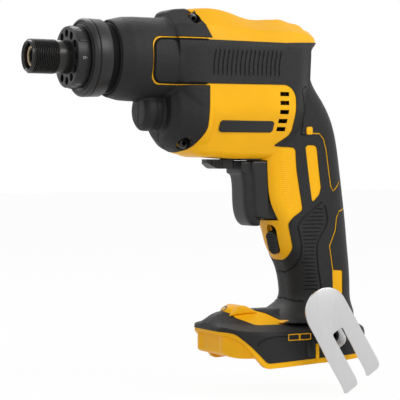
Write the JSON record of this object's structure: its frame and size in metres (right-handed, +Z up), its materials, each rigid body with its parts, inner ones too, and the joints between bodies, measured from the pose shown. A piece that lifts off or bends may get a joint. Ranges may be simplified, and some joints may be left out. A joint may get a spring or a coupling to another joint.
{
  "type": "cordless drywall screwdriver",
  "caption": "Pistol-grip cordless drywall screwdriver without battery: threaded nose, drilled setting dial, geared spindle, trigger, reversing lever, lock button and belt hook.",
  "frame": {"origin": "centre of the nose sleeve's front face, on the spindle axis", "axes": "+X out of the nose along the spindle axis, +Y to the operator's left, +Z up"},
  "size_m": [0.2074, 0.0808, 0.2216],
  "materials": {
    "shell": "fine-textured glass-filled nylon",
    "soft_grip": "matt soft-touch skin",
    "black_plastic": "satin moulded nylon",
    "dark_steel": "blackened steel",
    "steel": "ground steel",
    "bright_steel": "brushed plated sheet steel",
    "cast_alloy": "die cast",
    "bronze": "turned",
    "copper": "enamelled or plated copper",
    "board": "coated board",
    "lead_sleeve": "insulated wire",
    "lens": "clear moulded"
  },
  "bodies": {
    "housing": {"left_housing": "shell", "right_housing": "shell", "left_grip": "soft_grip", "right_grip": "soft_grip", "left_nose_skin": "soft_grip", "right_nose_skin": "soft_grip", "threaded_nose": "dark_steel", "clutch_collar": "black_plastic", "collar_seal": "soft_grip", "gear_case": "cast_alloy", "gear_plate": "cast_alloy", "spindle_bush": "bronze", "spindle_bearing": "steel", "pinion_bearing": "steel", "motor_bearing": "steel", "motor_stator": "dark_steel", "stator_coils": "copper", "motor_board": "board", "trigger_boot": "soft_grip", "switch_body": "black_plastic", "control_module": "cast_alloy", "battery_rail": "shell", "terminal_block": "black_plastic", "terminal_blades": "copper", "battery_leads": "lead_sleeve", "led_hood": "shell", "led_lens": "lens", "belt_hook": "bright_steel", "hook_screw": "dark_steel", "hook_inserts": "bronze", "housing_screws": "dark_steel"},
    "dial": {"setting_dial": "black_plastic"},
    "spindle": {"spindle": "dark_steel", "bit_ring": "bronze", "bit_magnet": "steel", "clutch_springs": "steel", "spindle_gear": "dark_steel"},
    "rotor": {"rotor_shaft": "steel", "rotor_core": "steel", "motor_pinion": "dark_steel", "motor_fan": "black_plastic"},
    "trigger": {"trigger": "black_plastic"},
    "lever": {"reverse_lever": "black_plastic"},
    "lock": {"lock_button": "black_plastic"}
  },
  "joints": [
    {"name": "dial_turn", "type": "hinge", "parent": "housing", "child": "dial", "pos_m": [-0.0275, 0, 0], "axis": [1, 0, 0], "range_deg": [0, 330]},
    {"name": "spindle_turn", "type": "hinge", "parent": "housing", "child": "spindle", "pos_m": [-0.05, 0, 0], "axis": [1, 0, 0], "continuous": true},
    {"name": "rotor_turn", "type": "hinge", "parent": "housing", "child": "rotor", "pos_m": [-0.12, 0, -0.029], "axis": [1, 0, 0], "continuous": true},
    {"name": "trigger_pull", "type": "slide", "parent": "housing", "child": "trigger", "axis": [-1, 0, 0], "range_m": [0, 0.006], "stiffness_N_per_m": 800, "springref_m": -0.003, "deforming": ["trigger_boot"]},
    {"name": "lever_swing", "type": "hinge", "parent": "housing", "child": "lever", "pos_m": [-0.122, 0, -0.056], "axis": [0, 0, 1], "range_deg": [-12, 12]},
    {"name": "lock_slide", "type": "slide", "parent": "housing", "child": "lock", "axis": [0.2904, 0.1057, 0.9511], "range_m": [0, 0.004]}
  ],
  "couplings": [
    {"joint": "rotor_turn", "follows": "spindle_turn", "ratio": -2.0526}
  ]
}
